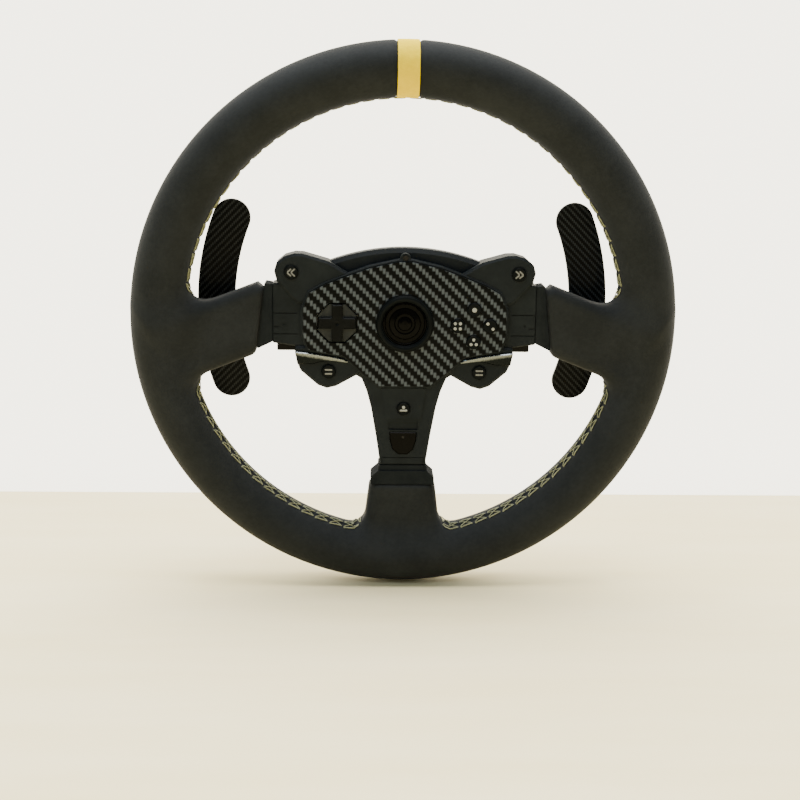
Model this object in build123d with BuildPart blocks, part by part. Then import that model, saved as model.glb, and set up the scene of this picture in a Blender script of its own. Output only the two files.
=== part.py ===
from build123d import *
import os

os.makedirs("parts", exist_ok=True)

# Racing wheel. Millimetres, +X to the driver's right, +Z up, +Y away from the driver.
# The origin is the centre of the quick-release socket's mouth, on the steering axis.
# Depths are measured backwards from the rim's middle plane: negative is nearer the driver.

# ---- Driving dimensions ----
RIM_RADIUS = 165.0
GRIP_WIDTH = 33.0
GRIP_DEPTH = 35.0
LEATHER = 1.6
BAND_WIDTH = 14.5
SOCKET_MOUTH = 58.0
WALL = 2.2
GAP = 0.3

# Depths of the faces, front to back
CAP_RING_FRONT = -14.2
CAP_FRONT = -12.2
CARBON_FRONT = -11.0
PLATEAU_FRONT = -9.5
EAR_FRONT = -8.5
ARM_FRONT = -6.5
CROWN_FRONT = -3.0
SHALLOW_FLOOR = CROWN_FRONT + WALL
FRAME_HALF = 2.5
PARTING = 2.5
SKIRT_BACK = 9.0
CORE_BACK = 20.0
DRUM_BACK = 28.0
PIVOT_DEPTH = 36.0

# Clearances
KEY_GAP = 0.25
PAD_GAP = 0.6

# Places on the face, (x, z)
PAD_CENTRE = (-40.5, 0.0)
FACE_KEYS_CENTRE = (41.5, -1.0)
FACE_KEY_SPREAD = 9.8
UPPER_EAR_KEY = (68.0, 29.9)
LOWER_EAR_KEY = (45.6, -30.0)
HOME_KEY_Z = -52.6
TOP_LENS_Z = 39.2
LED_Z = -70.8
ARM_END = 79.5
SLEEVE_START = 84.0
SLEEVE_TOP = 24.0
SLEEVE_LEAN = 0.12
COLLAR_TOP = -88.7
LOWER_SLEEVE_TOP = -100.6
PIVOT_X = 71.5

RING_RADIUS = RIM_RADIUS - GRIP_WIDTH / 2


def facing(depth):
    """Sketch plane at a depth, seen by the driver: local x is +X and local y is +Z."""
    return Plane.XZ.offset(SOCKET_MOUTH - depth)


def backing(depth):
    """Sketch plane at a depth, seen from behind: local x is -X and local y is +Z."""
    origin = (0, depth - SOCKET_MOUTH, 0)
    return Plane(origin=origin, x_dir=(-1, 0, 0), z_dir=(0, 1, 0))


def clock_plane(angle):
    """Plane through the steering axis; angle 0 holds +X and angle 90 holds +Z."""
    across = Vector(1, 0, 0).rotate(Axis.Y, -angle)
    normal = Vector(0, 0, 1).rotate(Axis.Y, -angle)
    return Plane(origin=(0, 0, 0), x_dir=across, z_dir=normal)


def rounded_outline(points, radius):
    """Closed outline with rounded corners."""
    with BuildSketch() as outline:
        with BuildLine():
            FilletPolyline(*points, radius=radius, close=True)
        make_face()
    return outline.sketch


def discs(places, radius):
    """Equal circles at several places."""
    with BuildSketch() as group:
        with Locations(*places):
            Circle(radius)
    return group.sketch


def grown(outline, amount):
    """An outline moved outwards, or inwards where the amount is negative."""
    with BuildSketch() as moved_outline:
        add(outline)
        offset(amount=amount)
    return moved_outline.sketch


def both_sides(outline):
    """An outline and its mirror image."""
    with BuildSketch() as pair:
        add(outline)
        mirror(about=Plane.YZ)
    return pair.sketch


def one_side(outline, side):
    """An outline drawn for +X, moved to the chosen side."""
    with BuildSketch() as chosen:
        add(outline)
        if side < 0:
            mirror(about=Plane.YZ, mode=Mode.REPLACE)
    return chosen.sketch


def symmetric(points):
    """A half outline, from the top to the bottom of the +X side, closed by its mirror image."""
    return points + [(-x, z) for x, z in reversed(points)]


def block(outline, back, front):
    """Straight block between two depths."""
    with BuildPart() as solid:
        with BuildSketch(facing(back)):
            add(outline)
        extrude(amount=back - front)
    return solid.part


def raised(outline, back, front, bevel):
    """Block whose front edge is bevelled at 45 degrees."""
    with BuildPart() as solid:
        with BuildSketch(facing(back)):
            add(outline)
        extrude(amount=back - front - bevel)
        with BuildSketch(facing(front + bevel)):
            add(outline)
        extrude(amount=bevel, taper=45)
    return solid.part


def sunk(outline, front, back, bevel):
    """Block whose rear edge is bevelled at 45 degrees; the outline is symmetric."""
    with BuildPart() as solid:
        with BuildSketch(backing(front)):
            add(outline)
        extrude(amount=back - front - bevel)
        with BuildSketch(backing(back - bevel)):
            add(outline)
        extrude(amount=bevel, taper=45)
    return solid.part


def turned(profile):
    """Solid of revolution about the steering axis from (radius, depth) points."""
    with BuildPart() as solid:
        with BuildSketch(Plane.XY):
            with BuildLine():
                Polyline(*[(radius, depth - SOCKET_MOUTH) for radius, depth in profile], close=True)
            make_face()
        revolve(axis=Axis.Y)
    return solid.part


# ---- Shared outlines, (x, z) ----
with BuildSketch() as core_sketch:
    with BuildLine():
        ThreePointArc((-49, 34.6), (0, 44.2), (49, 34.6))
        Polyline((49, 34.6), (60, 22), (64, 10), (64, -14), (41, -26), (24, -37), (-24, -37),
                 (-41, -26), (-64, -14), (-64, 10), (-60, 22), (-49, 34.6))
    make_face()
core = core_sketch.sketch

arm = rounded_outline([(52, 20), (70, 23), (ARM_END, 23), (ARM_END, -13), (64, -15.5), (52, -15)], 1.2)
upper_ear = rounded_outline(
    [(31, 28), (37.5, 31.6), (46, 36.6), (61, 40.8), (66, 41.0), (72, 39.3), (76.8, 35.3),
     (78.2, 30.4), (76.5, 24), (68, 14.5), (64, 11), (46, 12)], 1.5)
lower_ear = rounded_outline(
    [(65.9, -15), (65.9, -19), (64.6, -25), (62.5, -29.8), (52, -38.8), (46.6, -40.7),
     (41, -39.3), (27, -31.5), (23, -24), (40, -13)], 1.4)
lower_spoke = rounded_outline(
    symmetric([(27, -28), (27, -31), (22.5, -42), (19.8, -52), (16.6, -70), (14.2, -86),
               (14.2, COLLAR_TOP)]), 0.8)
carbon = rounded_outline(
    symmetric([(4, 36.8), (21, 33), (33, 28.6), (48, 22.8), (57, 18), (61, 8), (61, -7),
               (57.6, -16.5), (36, -20.2), (25.5, -30), (15, -38.4)]), 1.2)
frame_ring = Circle(RING_RADIUS + 6) - Circle(RING_RADIUS - 6)
side_bar = rounded_outline([(20, 12), (70, 12), (86, 10), (147, -6), (147, -28), (86, -7), (70, -8),
                            (20, -12)], 3)
lower_bar = rounded_outline(symmetric([(10, -20), (10, -147)]), 3)
hub_disc = Circle(34)
frame_outline = Sketch() + frame_ring + both_sides(side_bar) + lower_bar + hub_disc
spoke_outline = Sketch() + both_sides(side_bar) + lower_bar
whole_outline = Sketch() + core + both_sides(arm) + both_sides(upper_ear) + both_sides(lower_ear)
whole_outline = whole_outline + lower_spoke
octagon = RegularPolygon(12.2, 8, major_radius=False, rotation=22.5)
pad_place = Pos(*PAD_CENTRE)

face_keys = [
    ("face_button_top", (FACE_KEYS_CENTRE[0], FACE_KEYS_CENTRE[1] + FACE_KEY_SPREAD)),
    ("face_button_right", (FACE_KEYS_CENTRE[0] + FACE_KEY_SPREAD, FACE_KEYS_CENTRE[1])),
    ("face_button_bottom", (FACE_KEYS_CENTRE[0], FACE_KEYS_CENTRE[1] - FACE_KEY_SPREAD)),
    ("face_button_left", (FACE_KEYS_CENTRE[0] - FACE_KEY_SPREAD, FACE_KEYS_CENTRE[1])),
]
ear_keys = [
    ("ear_button_upper_left", (-UPPER_EAR_KEY[0], UPPER_EAR_KEY[1])),
    ("ear_button_upper_right", UPPER_EAR_KEY),
    ("ear_button_lower_left", (-LOWER_EAR_KEY[0], LOWER_EAR_KEY[1])),
    ("ear_button_lower_right", LOWER_EAR_KEY),
]
crown_screws = [(27, 37.2), (-27, 37.2)]
face_screws = [(60, 16), (-60, 16), (58, -21.5), (-58, -21.5)]
screw_places = crown_screws + face_screws
foot_screws = [(61.0, 8.0), (61.0, -8.0)]
all_foot_screws = foot_screws + [(-x, z) for x, z in foot_screws]
face_key_places = [place for name, place in face_keys]
ear_key_places = [place for name, place in ear_keys]

# ---- Rim frame: ring, three spokes and hub plate cut from one aluminium plate ----
FLANGE_BOLT_RADIUS = 24.0
with BuildPart() as rim_frame:
    with BuildSketch(facing(FRAME_HALF)):
        add(frame_outline)
        Circle(12, mode=Mode.SUBTRACT)
    extrude(amount=2 * FRAME_HALF)
    with Locations(facing(-FRAME_HALF)):
        with PolarLocations(FLANGE_BOLT_RADIUS, 6):
            CounterSinkHole(radius=2.6, counter_sink_radius=5.0)
rim_frame.part.label = "rim_frame"
export_step(rim_frame.part, "parts/rim_frame.step")

# ---- Grip: foam, leather panels, centre band ----
spoke_slot = block(spoke_outline, FRAME_HALF + 0.1, -FRAME_HALF - 0.1)


def grip_arc(start, turn, outer_inset, inner_inset):
    """Hollow stretch of grip, clockwise from the start angle as the driver sees it."""
    with BuildPart() as solid:
        with BuildSketch(clock_plane(start)):
            with Locations((RING_RADIUS, -SOCKET_MOUTH)):
                Ellipse(GRIP_WIDTH / 2 - outer_inset, GRIP_DEPTH / 2 - outer_inset)
                if inner_inset:
                    Ellipse(GRIP_WIDTH / 2 - inner_inset, GRIP_DEPTH / 2 - inner_inset, mode=Mode.SUBTRACT)
        revolve(axis=Axis.Y, revolution_arc=turn)
    return solid.part


with BuildPart() as rim_foam:
    add(grip_arc(0, 360, LEATHER + 0.1, 0))
    add(block(frame_outline, FRAME_HALF + 0.1, -FRAME_HALF - 0.1), mode=Mode.SUBTRACT)
rim_foam.part.label = "rim_foam"
export_step(rim_foam.part, "parts/rim_foam.step")

band_half_angle = 2.8
left_spoke_angle = 182.5
right_spoke_angle = -2.5
leather_arcs = [
    ("leather_upper_right", 90 - band_half_angle, 90 - band_half_angle - right_spoke_angle),
    ("leather_lower_right", right_spoke_angle, 90 + right_spoke_angle),
    ("leather_lower_left", -90, 90 + right_spoke_angle),
    ("leather_upper_left", left_spoke_angle, left_spoke_angle - 90 - band_half_angle),
]
for name, start, turn in leather_arcs:
    with BuildPart() as leather_panel:
        add(grip_arc(start, turn, 0, LEATHER))
        add(spoke_slot, mode=Mode.SUBTRACT)
    leather_panel.part.label = name
    export_step(leather_panel.part, f"parts/{name}.step")

with BuildPart() as centre_band:
    add(grip_arc(90 + band_half_angle, 2 * band_half_angle, 0, LEATHER))
centre_band.part.label = "centre_band"
export_step(centre_band.part, "parts/centre_band.step")

# ---- Spoke sleeves: padded leather round each spoke, ending against the grip ----
grip_solid = grip_arc(0, 360, -0.05, 0)
SLEEVE_HALF = 10.5
SLEEVE_BEVEL = 4.0


def sleeve_end(z):
    """Place in x of a side sleeve's end beside the hub, which leans outwards as it goes down."""
    return SLEEVE_START + (SLEEVE_TOP - z) * SLEEVE_LEAN


side_sleeve = rounded_outline(
    [(sleeve_end(SLEEVE_TOP), SLEEVE_TOP), (95, 19), (108, 14.6), (116, 11.8), (124, 12.5), (129, 17),
     (131, 24), (142, 26), (142, -48), (127, -46), (125.5, -38), (120, -32.5), (110, -28.5), (94, -22.8),
     (sleeve_end(-20.4), -20.4)], 1.5)
lower_sleeve = rounded_outline(
    symmetric([(19.8, LOWER_SLEEVE_TOP), (21.6, -109), (22.4, -116), (25, -123), (30, -129), (32, -142)]),
    1.2)


def pillow(outline):
    """Block with bevelled front and rear edges, centred on the rim's middle plane."""
    with BuildPart() as solid:
        with BuildSketch(facing(SLEEVE_HALF - SLEEVE_BEVEL)):
            add(outline)
        extrude(amount=2 * (SLEEVE_HALF - SLEEVE_BEVEL))
        with BuildSketch(facing(SLEEVE_BEVEL - SLEEVE_HALF)):
            add(outline)
        extrude(amount=SLEEVE_BEVEL, taper=35)
        mirror(about=Plane.XZ.offset(SOCKET_MOUTH))
    return solid.part


sleeves = [("sleeve_right", one_side(side_sleeve, 1)), ("sleeve_left", one_side(side_sleeve, -1)),
           ("sleeve_lower", lower_sleeve)]
for name, outline in sleeves:
    with BuildPart() as sleeve:
        add(pillow(outline))
        add(grip_solid, mode=Mode.SUBTRACT)
        add(spoke_slot, mode=Mode.SUBTRACT)
    sleeve.part.label = name
    export_step(sleeve.part, f"parts/{name}.step")

# ---- Front housing ----
FACE_KEY_RADIUS = 4.2
EAR_KEY_RADIUS = 4.2
HOME_KEY_RADIUS = 4.0
BOSS_RADIUS = 3.2
home_plate_outline = rounded_outline(symmetric([(13.6, -40), (10.8, -59)]), 1.2)
strip_recess = rounded_outline(symmetric([(9.2, -61.2), (9.0, -66.2)]), 0.5)
mode_key_outline = rounded_outline(
    symmetric([(8.3, -67.6), (7.9, -73), (6.2, -78.4), (2.8, -81.4)]), 0.7)
end_band = rounded_outline(symmetric([(12.6, -84), (12.4, -87.6)]), 0.4)
with BuildPart() as front_housing:
    add(raised(core, PARTING, CROWN_FRONT, 2.6))
    add(raised(both_sides(arm), PARTING, ARM_FRONT, 0.8))
    add(raised(both_sides(upper_ear), PARTING, EAR_FRONT, 1.5))
    add(raised(both_sides(lower_ear), PARTING, EAR_FRONT, 1.5))
    add(raised(lower_spoke, PARTING, EAR_FRONT, 1.0))
    add(raised(grown(carbon, 1.5), PARTING, PLATEAU_FRONT, 0.6))
    add(block(discs([(0, TOP_LENS_Z - 0.6)], 3.2), PARTING, PLATEAU_FRONT + 0.6))
    # Hollow from behind, deeper under each raised region
    add(block(grown(whole_outline, -WALL), PARTING, SHALLOW_FLOOR), mode=Mode.SUBTRACT)
    add(block(grown(carbon, 1.5 - WALL), PARTING, PLATEAU_FRONT + WALL), mode=Mode.SUBTRACT)
    add(block(grown(both_sides(upper_ear), -WALL), PARTING, EAR_FRONT + WALL), mode=Mode.SUBTRACT)
    add(block(grown(both_sides(lower_ear), -WALL), PARTING, EAR_FRONT + WALL), mode=Mode.SUBTRACT)
    add(block(grown(lower_spoke, -WALL), PARTING, EAR_FRONT + WALL), mode=Mode.SUBTRACT)
    add(block(grown(both_sides(arm), -WALL), PARTING, ARM_FRONT + WALL), mode=Mode.SUBTRACT)
    # Screw bosses
    add(block(discs(crown_screws, BOSS_RADIUS), PARTING, SHALLOW_FLOOR - 0.2))
    add(block(discs(face_screws, BOSS_RADIUS), PARTING, EAR_FRONT + 1))
    # Passage for the rim frame
    add(block(grown(frame_outline, 0.5), PARTING, -FRAME_HALF - 0.5), mode=Mode.SUBTRACT)
    add(block(discs(screw_places, 1.25), PARTING, SHALLOW_FLOOR - 0.4), mode=Mode.SUBTRACT)
    # Key holes
    with BuildSketch(facing(0)):
        with Locations(*face_key_places):
            Circle(FACE_KEY_RADIUS + KEY_GAP)
        with Locations(*ear_key_places):
            Circle(EAR_KEY_RADIUS + KEY_GAP)
        with Locations((0, HOME_KEY_Z)):
            Circle(HOME_KEY_RADIUS + KEY_GAP)
        add(pad_place * octagon)
        add(grown(mode_key_outline, KEY_GAP))
        with Locations((0, TOP_LENS_Z)):
            Circle(1.7)
    extrude(amount=20, mode=Mode.SUBTRACT)
    # Recess for the dark strip, and the line of the end band
    add(block(strip_recess, EAR_FRONT + 1.0, EAR_FRONT - 1), mode=Mode.SUBTRACT)
    with BuildSketch(facing(EAR_FRONT + 0.5)):
        add(grown(end_band, 0.5))
        add(end_band, mode=Mode.SUBTRACT)
    extrude(amount=1, mode=Mode.SUBTRACT)
    # Grooves, pin holes and slots on the arms
    with BuildSketch(facing(ARM_FRONT + 0.6)):
        with Locations((72, 5), (-72, 5), (72, -7.6), (-72, -7.6)):
            Rectangle(15, 0.6)
        with Locations((72.5, -1.6), (-72.5, -1.6)):
            Circle(0.9)
        with Locations((77.2, -3.2), (-77.2, -3.2)):
            Rectangle(3.6, 1.0)
    extrude(amount=1, mode=Mode.SUBTRACT)
front_housing.part.label = "front_housing"
export_step(front_housing.part, "parts/front_housing.step")

# ---- Rear housing ----
SOCKET_TUBE_RADIUS = 17.5
HOUSING_SCREW_SEAT = 6.0
HOUSING_SCREW_HOLE = 1.6
FOOT_SCREW_HOLE = 1.45
POST_FLOOR = 4.0
drum = [(0, PARTING), (44, PARTING), (44, CORE_BACK), (41, CORE_BACK + 4), (37, DRUM_BACK), (0, DRUM_BACK)]
drum_hollow = [(0, PARTING), (41.5, PARTING), (41.5, CORE_BACK - 1), (38.8, CORE_BACK + 3),
               (36, DRUM_BACK - WALL), (0, DRUM_BACK - WALL)]
small_core = grown(core, -7.5)
drum_limit = rounded_outline([(60, 38.6), (60, -37), (-60, -37), (-60, 38.6)], 4)
with BuildPart() as rear_housing:
    for region in (core, both_sides(arm), both_sides(upper_ear), both_sides(lower_ear), lower_spoke):
        add(sunk(region, PARTING, SKIRT_BACK, 1.2))
    add(sunk(small_core, PARTING, CORE_BACK, 3.0))
    add(turned(drum) & block(drum_limit, DRUM_BACK, PARTING))
    add(block(grown(whole_outline, -WALL), SKIRT_BACK - WALL, PARTING), mode=Mode.SUBTRACT)
    add(block(grown(small_core, -WALL), CORE_BACK - WALL, PARTING), mode=Mode.SUBTRACT)
    add(turned(drum_hollow) & block(grown(drum_limit, -WALL), DRUM_BACK, PARTING), mode=Mode.SUBTRACT)
    add(block(discs([(0, 0)], SOCKET_TUBE_RADIUS + 0.5), DRUM_BACK, CORE_BACK), mode=Mode.SUBTRACT)
    # Posts for the housing screws, drilled through from behind
    add(block(discs(screw_places, BOSS_RADIUS + 0.6), SKIRT_BACK - 1.0, PARTING))
    add(block(discs(screw_places, BOSS_RADIUS), SKIRT_BACK, HOUSING_SCREW_SEAT), mode=Mode.SUBTRACT)
    add(block(discs(screw_places, HOUSING_SCREW_HOLE), SKIRT_BACK, PARTING), mode=Mode.SUBTRACT)
    add(block(discs(all_foot_screws, FOOT_SCREW_HOLE), SKIRT_BACK, POST_FLOOR), mode=Mode.SUBTRACT)
rear_housing.part.label = "rear_housing"
export_step(rear_housing.part, "parts/rear_housing.step")

# ---- Overlay, cap ring and cap, lenses, trims ----
RING_OUTER = 17.2
RING_INNER = 13.3
with BuildPart() as carbon_plate:
    with BuildSketch(facing(PLATEAU_FRONT)):
        add(carbon)
        Circle(RING_OUTER + 0.3, mode=Mode.SUBTRACT)
        add(pad_place * octagon, mode=Mode.SUBTRACT)
        with Locations(*face_key_places):
            Circle(FACE_KEY_RADIUS + KEY_GAP, mode=Mode.SUBTRACT)
    extrude(amount=PLATEAU_FRONT - CARBON_FRONT)
carbon_plate.part.label = "carbon_plate"
export_step(carbon_plate.part, "parts/carbon_plate.step")

ring_shape = turned([(RING_INNER, PLATEAU_FRONT), (RING_OUTER, PLATEAU_FRONT), (RING_OUTER, -12.6),
                     (16.2, -13.8), (15.2, CAP_RING_FRONT), (14.4, -13.9), (RING_INNER, -12.4)])
with BuildPart() as cap_ring:
    add(ring_shape)
cap_ring.part.label = "cap_ring"
export_step(cap_ring.part, "parts/cap_ring.step")

CAP_RADIUS = RING_INNER - 0.1
cap_profile = [(0, PLATEAU_FRONT), (CAP_RADIUS, PLATEAU_FRONT), (CAP_RADIUS, -11.6), (12.2, -11.9),
               (11.6, -11.2), (9.6, -11.2), (9.0, -11.8), (6.4, CAP_FRONT), (5.8, -11.3), (4.4, -11.3),
               (3.8, -12.0), (2.0, -12.5), (0, -12.6)]
with BuildPart() as centre_cap:
    add(turned(cap_profile))
    with BuildSketch(facing(-11.1)):
        with PolarLocations(10.6, 8):
            SlotOverall(1.8, 1.2)
    extrude(amount=0.6)
centre_cap.part.label = "centre_cap"
export_step(centre_cap.part, "parts/centre_cap.step")

with BuildPart() as home_plate:
    with BuildSketch(facing(EAR_FRONT)):
        add(home_plate_outline)
        with Locations((0, HOME_KEY_Z)):
            Circle(HOME_KEY_RADIUS + KEY_GAP, mode=Mode.SUBTRACT)
    extrude(amount=0.9)
home_plate.part.label = "home_plate"
export_step(home_plate.part, "parts/home_plate.step")

with BuildPart() as top_lens:
    add(block(discs([(0, TOP_LENS_Z)], 1.65), SHALLOW_FLOOR, PLATEAU_FRONT - 0.3))
top_lens.part.label = "top_lens"
export_step(top_lens.part, "parts/top_lens.step")

LED_RADIUS = 0.9
with BuildPart() as status_led:
    add(block(discs([(0, LED_Z)], LED_RADIUS), -5.5, -9.0))
status_led.part.label = "status_led"
export_step(status_led.part, "parts/status_led.step")

trim = rounded_outline(
    [(65.8, -17.8), (57.5, -18.6), (45.2, -20.4), (36.5, -22.2), (33.0, -24.4), (41.0, -23.6),
     (45.6, -23.0), (50.2, -24.0), (55.5, -25.3), (64.4, -25.2)], 0.35)
for name, side in (("trim_right", 1), ("trim_left", -1)):
    with BuildPart() as bright_trim:
        add(raised(one_side(trim, side), EAR_FRONT, EAR_FRONT - 2.0, 0.5))
    bright_trim.part.label = name
    export_step(bright_trim.part, f"parts/{name}.step")

# ---- Collars between the plastic and the leather ----
COLLAR_HALF_DEPTH = 8.0
COLLAR_STEP = 1.5
arm_collar = rounded_outline(
    [(ARM_END, 22.2), (sleeve_end(23), 23), (sleeve_end(-17), -17), (ARM_END, -12.4)], 0.8)
for name, side in (("collar_right", 1), ("collar_left", -1)):
    with BuildPart() as collar:
        add(block(one_side(arm_collar, side), COLLAR_HALF_DEPTH, COLLAR_STEP - COLLAR_HALF_DEPTH))
        add(spoke_slot, mode=Mode.SUBTRACT)
    collar.part.label = name
    export_step(collar.part, f"parts/{name}.step")

NECK_FRONT = -8.8
SHOULDER_FRONT = -9.8
SHOULDER_BACK = 9.0
collar_neck = rounded_outline(symmetric([(14.8, COLLAR_TOP), (15.0, -93)]), 0.5)
collar_shoulder = rounded_outline(symmetric([(15.0, -92), (19.4, -95.8), (19.6, LOWER_SLEEVE_TOP)]), 0.6)
with BuildPart() as collar_lower:
    add(block(collar_neck, COLLAR_HALF_DEPTH, NECK_FRONT))
    add(block(collar_shoulder, SHOULDER_BACK, SHOULDER_FRONT))
    add(spoke_slot, mode=Mode.SUBTRACT)
collar_lower.part.label = "collar_lower"
export_step(collar_lower.part, "parts/collar_lower.step")

# ---- Keys. Each has a cap and a flange that keeps it behind the face ----
FLANGE = 0.8
FLANGE_STEP = 0.9
KEY_BEVEL = 0.5
FACE_KEY_RISE = 1.5
EAR_KEY_RISE = 1.6
HOME_KEY_RISE = 2.3
MODE_KEY_RISE = 0.9


def key(place, radius, front, floor):
    """Round key with a slightly bevelled cap and a retaining flange."""
    with BuildPart() as solid:
        add(raised(discs([place], radius), floor + KEY_GAP, front, KEY_BEVEL))
        add(block(discs([place], radius + FLANGE_STEP), floor + KEY_GAP + FLANGE, floor + KEY_GAP))
    return solid.part


PLATEAU_FLOOR = PLATEAU_FRONT + WALL
EAR_FLOOR = EAR_FRONT + WALL
for name, place in face_keys:
    with BuildPart() as face_button:
        add(key(place, FACE_KEY_RADIUS, CARBON_FRONT - FACE_KEY_RISE, PLATEAU_FLOOR))
    face_button.part.label = name
    export_step(face_button.part, f"parts/{name}.step")
for name, place in ear_keys:
    with BuildPart() as ear_button:
        add(key(place, EAR_KEY_RADIUS, EAR_FRONT - EAR_KEY_RISE, EAR_FLOOR))
    ear_button.part.label = name
    export_step(ear_button.part, f"parts/{name}.step")
with BuildPart() as home_button:
    add(key((0, HOME_KEY_Z), HOME_KEY_RADIUS, EAR_FRONT - HOME_KEY_RISE, EAR_FLOOR))
home_button.part.label = "home_button"
export_step(home_button.part, "parts/home_button.step")

with BuildPart() as mode_key:
    add(raised(mode_key_outline, EAR_FLOOR + KEY_GAP, EAR_FRONT - MODE_KEY_RISE, 0.4))
    add(block(grown(mode_key_outline, 0.7), EAR_FLOOR + KEY_GAP + FLANGE, EAR_FLOOR + KEY_GAP))
    add(block(discs([(0, LED_Z)], LED_RADIUS + 0.2), 0, -12), mode=Mode.SUBTRACT)
mode_key.part.label = "mode_key"
export_step(mode_key.part, "parts/mode_key.step")

# ---- D-pad: octagonal dish with a raised cross, on a small rocker ----
PAD_BACK = -7.6
PAD_DISH_FRONT = -10.3
PAD_CROSS_FRONT = -12.8
CROSS_WIDTH = 6.6
pad_disc = pad_place * grown(octagon, -PAD_GAP)
with BuildSketch() as cross_sketch:
    with Locations(PAD_CENTRE):
        Rectangle(CROSS_WIDTH, 22.4)
        Rectangle(22.4, CROSS_WIDTH)
    fillet(cross_sketch.vertices(), 0.8)
with BuildPart() as dpad:
    add(raised(pad_disc, PAD_BACK, PAD_DISH_FRONT, 0.4))
    add(raised(cross_sketch.sketch, PAD_DISH_FRONT + 0.2, PAD_CROSS_FRONT, 0.6))
    add(turned([(0, PAD_CROSS_FRONT - 1), (3.4, PAD_CROSS_FRONT - 1), (0, PAD_CROSS_FRONT + 0.7)]).moved(
        Location((PAD_CENTRE[0], 0, PAD_CENTRE[1]))), mode=Mode.SUBTRACT)
    add(block(discs([PAD_CENTRE], 2.8), -6.9, PAD_BACK))
dpad.part.label = "dpad"
export_step(dpad.part, "parts/dpad.step")

with BuildPart() as dpad_rocker:
    add(block(discs([PAD_CENTRE], 2.4), -5.8, -6.3))
dpad_rocker.part.label = "dpad_rocker"
export_step(dpad_rocker.part, "parts/dpad_rocker.step")

# ---- Electronics inside ----
keypad_outline = rounded_outline([(28, 11), (55, 11), (55, -15), (28, -15)], 3)
with BuildPart() as keypad:
    add(block(both_sides(keypad_outline), -4.8, -5.3))
keypad.part.label = "keypad"
export_step(keypad.part, "parts/keypad.step")

board_outline = rounded_outline(
    symmetric([(28, 26.5), (46, 18), (55, 10), (55, -10), (44, -15.5), (24, -24)]), 1.5)
with BuildPart() as main_board:
    add(block(board_outline, -3.3, -4.7))
main_board.part.label = "main_board"
export_step(main_board.part, "parts/main_board.step")

with BuildPart() as lower_board:
    add(block(rounded_outline(symmetric([(12, -45), (9.5, -79)]), 1), -3.1, -4.2))
lower_board.part.label = "lower_board"
export_step(lower_board.part, "parts/lower_board.step")

with BuildPart() as ear_boards:
    with BuildSketch(facing(1.6)):
        with Locations(*ear_key_places):
            RectangleRounded(11, 11, 1)
    extrude(amount=1.2)
ear_boards.part.label = "ear_boards"
export_step(ear_boards.part, "parts/ear_boards.step")

with BuildPart() as key_switches:
    with BuildSketch(facing(0.4)):
        with Locations(*ear_key_places):
            RectangleRounded(6.2, 6.2, 0.4)
    extrude(amount=3.4)
    with BuildSketch(facing(-3.0)):
        with Locations(*ear_key_places):
            Circle(1.7)
    extrude(amount=0.8)
key_switches.part.label = "key_switches"
export_step(key_switches.part, "parts/key_switches.step")

# ---- Quick-release socket, contact block and locking collar ----
SOCKET_BORE = 13.0
SOCKET_BORE_START = 30.0
CONTACT_RADIUS = 9.0
LIP_FRONT = 40.0
LIP_BACK = 43.0
LIP_RADIUS = 21.5
socket_profile = [(CONTACT_RADIUS, PARTING), (30, PARTING), (30, 8), (SOCKET_TUBE_RADIUS, 8),
                  (SOCKET_TUBE_RADIUS, LIP_FRONT), (LIP_RADIUS, LIP_FRONT), (LIP_RADIUS, LIP_BACK),
                  (SOCKET_TUBE_RADIUS, LIP_BACK), (SOCKET_TUBE_RADIUS, SOCKET_MOUTH),
                  (SOCKET_BORE, SOCKET_MOUTH), (SOCKET_BORE, SOCKET_BORE_START),
                  (CONTACT_RADIUS, SOCKET_BORE_START)]
with BuildPart() as socket_hub:
    add(turned(socket_profile))
    with BuildSketch(facing(8)):
        with PolarLocations(FLANGE_BOLT_RADIUS, 6):
            Circle(2.5)
    extrude(amount=8 - PARTING, mode=Mode.SUBTRACT)
socket_hub.part.label = "socket_hub"
export_step(socket_hub.part, "parts/socket_hub.step")

with BuildPart() as contact_block:
    add(block(discs([(0, 0)], CONTACT_RADIUS - 0.05), SOCKET_BORE_START, 18))
    with BuildSketch(facing(SOCKET_BORE_START)):
        with PolarLocations(4.5, 6):
            Circle(0.8)
    extrude(amount=6, mode=Mode.SUBTRACT)
contact_block.part.label = "contact_block"
export_step(contact_block.part, "parts/contact_block.step")

COLLAR_RADIUS = 27.0
COLLAR_THREAD = 22.0
COLLAR_FRONT = DRUM_BACK + 1.0
COLLAR_BACK = SOCKET_MOUTH - 1.0
COLLAR_RUNNING = SOCKET_TUBE_RADIUS + 0.08
collar_profile = [(COLLAR_RUNNING, COLLAR_FRONT), (COLLAR_RADIUS - 3, COLLAR_FRONT),
                  (COLLAR_RADIUS, COLLAR_FRONT + 3), (COLLAR_RADIUS, COLLAR_BACK - 2),
                  (COLLAR_RADIUS - 2, COLLAR_BACK), (COLLAR_THREAD, COLLAR_BACK),
                  (COLLAR_THREAD, LIP_FRONT - 0.4), (COLLAR_RUNNING, LIP_FRONT - 0.4)]
with BuildPart() as lock_collar:
    add(turned(collar_profile))
    with BuildSketch(facing(COLLAR_BACK)):
        with PolarLocations(COLLAR_RADIUS + 2.2, 14):
            Circle(3.4)
    extrude(amount=COLLAR_BACK - COLLAR_FRONT - 4, mode=Mode.SUBTRACT)
lock_collar.part.label = "lock_collar"
export_step(lock_collar.part, "parts/lock_collar.step")

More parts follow.
